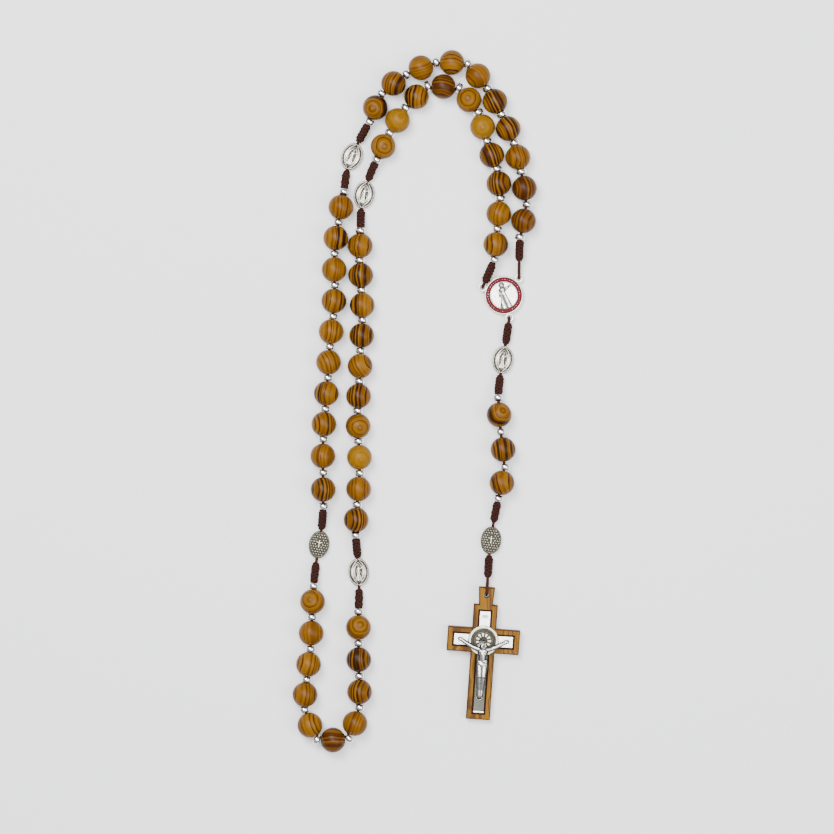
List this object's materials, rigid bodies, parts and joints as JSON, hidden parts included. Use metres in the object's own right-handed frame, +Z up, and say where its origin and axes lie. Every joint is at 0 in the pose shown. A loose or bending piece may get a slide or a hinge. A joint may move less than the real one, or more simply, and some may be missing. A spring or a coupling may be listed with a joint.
{
  "type": "rosary",
  "caption": "Wooden bead rosary on a knotted brown cord, with metal spacers, oval medals, a round centre medal with a red band and a wooden crucifix with metal inlay.",
  "frame": {"origin": "centre of the bounding box at the level the rosary lies on", "axes": "+X to the right and +Y away from the crucifix as the rosary lies face up, +Z up out of the surface"},
  "size_m": [0.0976, 0.2808, 0.01],
  "materials": {
    "bead_wood": "olive wood with dark growth rings, satin varnish",
    "cross_wood": "flat olive wood, sawn edges darkened, satin varnish",
    "cord": "dark red-brown braided polyester cord, knotted",
    "bright_metal": "bright polished plating",
    "old_silver": "antique silver plating, dark in the hollows",
    "silver": "silver plating with relief; red enamel in the band of the centre medal"
  },
  "bodies": {
    "strand": {"loop_cord": "cord", "loop_spacers": "bright_metal", "loop_medals": "old_silver", "centre_medal": "silver"},
    "pendant": {"pendant_cord": "cord", "pendant_spacers": "bright_metal", "pendant_medals": "old_silver", "pendant_beads": "bead_wood"},
    "cross": {"cross_wood": "cross_wood", "cross_metal": "silver"},
    "bead_01": {"bead_01": "bead_wood"},
    "bead_02": {"bead_02": "bead_wood"},
    "bead_03": {"bead_03": "bead_wood"},
    "bead_04": {"bead_04": "bead_wood"},
    "bead_05": {"bead_05": "bead_wood"},
    "bead_06": {"bead_06": "bead_wood"},
    "bead_07": {"bead_07": "bead_wood"},
    "bead_08": {"bead_08": "bead_wood"},
    "bead_09": {"bead_09": "bead_wood"},
    "bead_10": {"bead_10": "bead_wood"},
    "bead_11": {"bead_11": "bead_wood"},
    "bead_12": {"bead_12": "bead_wood"},
    "bead_13": {"bead_13": "bead_wood"},
    "bead_14": {"bead_14": "bead_wood"},
    "bead_15": {"bead_15": "bead_wood"},
    "bead_16": {"bead_16": "bead_wood"},
    "bead_17": {"bead_17": "bead_wood"},
    "bead_18": {"bead_18": "bead_wood"},
    "bead_19": {"bead_19": "bead_wood"},
    "bead_20": {"bead_20": "bead_wood"},
    "bead_21": {"bead_21": "bead_wood"},
    "bead_22": {"bead_22": "bead_wood"},
    "bead_23": {"bead_23": "bead_wood"},
    "bead_24": {"bead_24": "bead_wood"},
    "bead_25": {"bead_25": "bead_wood"},
    "bead_26": {"bead_26": "bead_wood"},
    "bead_27": {"bead_27": "bead_wood"},
    "bead_28": {"bead_28": "bead_wood"},
    "bead_29": {"bead_29": "bead_wood"},
    "bead_30": {"bead_30": "bead_wood"},
    "bead_31": {"bead_31": "bead_wood"},
    "bead_32": {"bead_32": "bead_wood"},
    "bead_33": {"bead_33": "bead_wood"},
    "bead_34": {"bead_34": "bead_wood"},
    "bead_35": {"bead_35": "bead_wood"},
    "bead_36": {"bead_36": "bead_wood"},
    "bead_37": {"bead_37": "bead_wood"},
    "bead_38": {"bead_38": "bead_wood"},
    "bead_39": {"bead_39": "bead_wood"},
    "bead_40": {"bead_40": "bead_wood"},
    "bead_41": {"bead_41": "bead_wood"},
    "bead_42": {"bead_42": "bead_wood"},
    "bead_43": {"bead_43": "bead_wood"},
    "bead_44": {"bead_44": "bead_wood"},
    "bead_45": {"bead_45": "bead_wood"},
    "bead_46": {"bead_46": "bead_wood"},
    "bead_47": {"bead_47": "bead_wood"},
    "bead_48": {"bead_48": "bead_wood"},
    "bead_49": {"bead_49": "bead_wood"},
    "bead_50": {"bead_50": "bead_wood"}
  },
  "joints": [
    {"name": "pendant_swing", "type": "hinge", "parent": "strand", "child": "pendant", "pos_m": [0.03789, 0.03355, 0.0019], "axis": [0, 0, 1], "range_deg": [-6, 40]},
    {"name": "cross_swing", "type": "hinge", "parent": "pendant", "child": "cross", "pos_m": [0.02872, -0.07744, 0.00135], "axis": [-0.0019, -0.027, 0.9996], "range_deg": [-20, 30]},
    {"name": "bead_01_spin", "type": "hinge", "parent": "strand", "child": "bead_01", "pos_m": [0.03238, 0.06269, 0.005], "axis": [0.0698, 0.9976, 0], "continuous": true},
    {"name": "bead_02_spin", "type": "hinge", "parent": "strand", "child": "bead_02", "pos_m": [0.03356, 0.07498, 0.005], "axis": [0.1219, 0.9925, 0], "continuous": true},
    {"name": "bead_03_spin", "type": "hinge", "parent": "strand", "child": "bead_03", "pos_m": [0.03359, 0.08699, 0.005], "axis": [-0.1219, 0.9925, 0], "continuous": true},
    {"name": "bead_04_spin", "type": "hinge", "parent": "strand", "child": "bead_04", "pos_m": [0.03075, 0.0984, 0.005], "axis": [-0.3584, 0.9336, 0], "continuous": true},
    {"name": "bead_05_spin", "type": "hinge", "parent": "strand", "child": "bead_05", "pos_m": [0.02708, 0.10971, 0.005], "axis": [-0.2588, 0.9659, 0], "continuous": true},
    {"name": "bead_06_spin", "type": "hinge", "parent": "strand", "child": "bead_06", "pos_m": [0.02165, 0.12047, 0.005], "axis": [-0.6157, 0.788, 0], "continuous": true},
    {"name": "bead_07_spin", "type": "hinge", "parent": "strand", "child": "bead_07", "pos_m": [0.01143, 0.12576, 0.005], "axis": [-0.9986, 0.0523, 0], "continuous": true},
    {"name": "bead_08_spin", "type": "hinge", "parent": "strand", "child": "bead_08", "pos_m": [0.00067, 0.12168, 0.005], "axis": [-0.7071, -0.7071, 0], "continuous": true},
    {"name": "bead_09_spin", "type": "hinge", "parent": "strand", "child": "bead_09", "pos_m": [-0.0069, 0.11221, 0.005], "axis": [-0.5299, -0.848, 0], "continuous": true},
    {"name": "bead_10_spin", "type": "hinge", "parent": "strand", "child": "bead_10", "pos_m": [-0.01264, 0.10186, 0.005], "axis": [-0.4384, -0.8988, 0], "continuous": true},
    {"name": "bead_11_spin", "type": "hinge", "parent": "strand", "child": "bead_11", "pos_m": [-0.02183, 0.0622, 0.005], "axis": [-0.0349, -0.9994, 0], "continuous": true},
    {"name": "bead_12_spin", "type": "hinge", "parent": "strand", "child": "bead_12", "pos_m": [-0.02162, 0.05037, 0.005], "axis": [0.0698, -0.9976, 0], "continuous": true},
    {"name": "bead_13_spin", "type": "hinge", "parent": "strand", "child": "bead_13", "pos_m": [-0.02099, 0.03843, 0.005], "axis": [0.0349, -0.9994, 0], "continuous": true},
    {"name": "bead_14_spin", "type": "hinge", "parent": "strand", "child": "bead_14", "pos_m": [-0.02121, 0.0263, 0.005], "axis": [-0.0698, -0.9976, 0], "continuous": true},
    {"name": "bead_15_spin", "type": "hinge", "parent": "strand", "child": "bead_15", "pos_m": [-0.02186, 0.01407, 0.005], "axis": [-0.0349, -0.9994, 0], "continuous": true},
    {"name": "bead_16_spin", "type": "hinge", "parent": "strand", "child": "bead_16", "pos_m": [-0.02248, 0.00209, 0.005], "axis": [-0.0698, -0.9976, 0], "continuous": true},
    {"name": "bead_17_spin", "type": "hinge", "parent": "strand", "child": "bead_17", "pos_m": [-0.02268, -0.00989, 0.005], "axis": [0.0349, -0.9994, 0], "continuous": true},
    {"name": "bead_18_spin", "type": "hinge", "parent": "strand", "child": "bead_18", "pos_m": [-0.02213, -0.02238, 0.005], "axis": [0.0523, -0.9986, 0], "continuous": true},
    {"name": "bead_19_spin", "type": "hinge", "parent": "strand", "child": "bead_19", "pos_m": [-0.02245, -0.03504, 0.005], "axis": [-0.1045, -0.9945, 0], "continuous": true},
    {"name": "bead_20_spin", "type": "hinge", "parent": "strand", "child": "bead_20", "pos_m": [-0.02343, -0.04739, 0.005], "axis": [-0.0523, -0.9986, 0], "continuous": true},
    {"name": "bead_21_spin", "type": "hinge", "parent": "strand", "child": "bead_21", "pos_m": [-0.02252, -0.09041, 0.005], "axis": [0, -1, 0], "continuous": true},
    {"name": "bead_22_spin", "type": "hinge", "parent": "strand", "child": "bead_22", "pos_m": [-0.02241, -0.10326, 0.005], "axis": [0.0175, -0.9998, 0], "continuous": true},
    {"name": "bead_23_spin", "type": "hinge", "parent": "strand", "child": "bead_23", "pos_m": [-0.02208, -0.11611, 0.005], "axis": [0.0349, -0.9994, 0], "continuous": true},
    {"name": "bead_24_spin", "type": "hinge", "parent": "strand", "child": "bead_24", "pos_m": [-0.02393, -0.12878, 0.005], "axis": [-0.309, -0.9511, 0], "continuous": true},
    {"name": "bead_25_spin", "type": "hinge", "parent": "strand", "child": "bead_25", "pos_m": [-0.03269, -0.13538, 0.005], "axis": [-0.9994, -0.0349, 0], "continuous": true},
    {"name": "bead_26_spin", "type": "hinge", "parent": "strand", "child": "bead_26", "pos_m": [-0.04188, -0.12945, 0.005], "axis": [-0.3746, 0.9272, 0], "continuous": true},
    {"name": "bead_27_spin", "type": "hinge", "parent": "strand", "child": "bead_27", "pos_m": [-0.04384, -0.11726, 0.005], "axis": [0.0872, 0.9962, 0], "continuous": true},
    {"name": "bead_28_spin", "type": "hinge", "parent": "strand", "child": "bead_28", "pos_m": [-0.04246, -0.10514, 0.005], "axis": [0.1392, 0.9903, 0], "continuous": true},
    {"name": "bead_29_spin", "type": "hinge", "parent": "strand", "child": "bead_29", "pos_m": [-0.04138, -0.09266, 0.005], "axis": [0.0349, 0.9994, 0], "continuous": true},
    {"name": "bead_30_spin", "type": "hinge", "parent": "strand", "child": "bead_30", "pos_m": [-0.04083, -0.08007, 0.005], "axis": [0.0523, 0.9986, 0], "continuous": true},
    {"name": "bead_31_spin", "type": "hinge", "parent": "strand", "child": "bead_31", "pos_m": [-0.0366, -0.03525, 0.005], "axis": [-0.0175, 0.9998, 0], "continuous": true},
    {"name": "bead_32_spin", "type": "hinge", "parent": "strand", "child": "bead_32", "pos_m": [-0.03672, -0.02185, 0.005], "axis": [0, 1, 0], "continuous": true},
    {"name": "bead_33_spin", "type": "hinge", "parent": "strand", "child": "bead_33", "pos_m": [-0.0363, -0.00912, 0.005], "axis": [0.0698, 0.9976, 0], "continuous": true},
    {"name": "bead_34_spin", "type": "hinge", "parent": "strand", "child": "bead_34", "pos_m": [-0.03533, 0.00314, 0.005], "axis": [0.0872, 0.9962, 0], "continuous": true},
    {"name": "bead_35_spin", "type": "hinge", "parent": "strand", "child": "bead_35", "pos_m": [-0.03446, 0.01561, 0.005], "axis": [0.0523, 0.9986, 0], "continuous": true},
    {"name": "bead_36_spin", "type": "hinge", "parent": "strand", "child": "bead_36", "pos_m": [-0.0334, 0.02786, 0.005], "axis": [0.1219, 0.9925, 0], "continuous": true},
    {"name": "bead_37_spin", "type": "hinge", "parent": "strand", "child": "bead_37", "pos_m": [-0.03233, 0.0401, 0.005], "axis": [0.0523, 0.9986, 0], "continuous": true},
    {"name": "bead_38_spin", "type": "hinge", "parent": "strand", "child": "bead_38", "pos_m": [-0.03222, 0.05264, 0.005], "axis": [-0.0349, 0.9994, 0], "continuous": true},
    {"name": "bead_39_spin", "type": "hinge", "parent": "strand", "child": "bead_39", "pos_m": [-0.03156, 0.06523, 0.005], "axis": [0.1392, 0.9903, 0], "continuous": true},
    {"name": "bead_40_spin", "type": "hinge", "parent": "strand", "child": "bead_40", "pos_m": [-0.02949, 0.0776, 0.005], "axis": [0.1908, 0.9816, 0], "continuous": true},
    {"name": "bead_41_spin", "type": "hinge", "parent": "strand", "child": "bead_41", "pos_m": [-0.01577, 0.11738, 0.005], "axis": [0.3746, 0.9272, 0], "continuous": true},
    {"name": "bead_42_spin", "type": "hinge", "parent": "strand", "child": "bead_42", "pos_m": [-0.00848, 0.127, 0.005], "axis": [0.788, 0.6157, 0], "continuous": true},
    {"name": "bead_43_spin", "type": "hinge", "parent": "strand", "child": "bead_43", "pos_m": [0.00246, 0.1333, 0.005], "axis": [0.9272, 0.3746, 0], "continuous": true},
    {"name": "bead_44_spin", "type": "hinge", "parent": "strand", "child": "bead_44", "pos_m": [0.01483, 0.13538, 0.005], "axis": [0.9986, -0.0523, 0], "continuous": true},
    {"name": "bead_45_spin", "type": "hinge", "parent": "strand", "child": "bead_45", "pos_m": [0.02525, 0.13007, 0.005], "axis": [0.6293, -0.7771, 0], "continuous": true},
    {"name": "bead_46_spin", "type": "hinge", "parent": "strand", "child": "bead_46", "pos_m": [0.03205, 0.11989, 0.005], "axis": [0.4695, -0.8829, 0], "continuous": true},
    {"name": "bead_47_spin", "type": "hinge", "parent": "strand", "child": "bead_47", "pos_m": [0.03736, 0.10897, 0.005], "axis": [0.4067, -0.9135, 0], "continuous": true},
    {"name": "bead_48_spin", "type": "hinge", "parent": "strand", "child": "bead_48", "pos_m": [0.04123, 0.09751, 0.005], "axis": [0.225, -0.9744, 0], "continuous": true},
    {"name": "bead_49_spin", "type": "hinge", "parent": "strand", "child": "bead_49", "pos_m": [0.04383, 0.08518, 0.005], "axis": [0.1908, -0.9816, 0], "continuous": true},
    {"name": "bead_50_spin", "type": "hinge", "parent": "strand", "child": "bead_50", "pos_m": [0.04349, 0.07211, 0.005], "axis": [-0.2419, -0.9703, 0], "continuous": true}
  ]
}
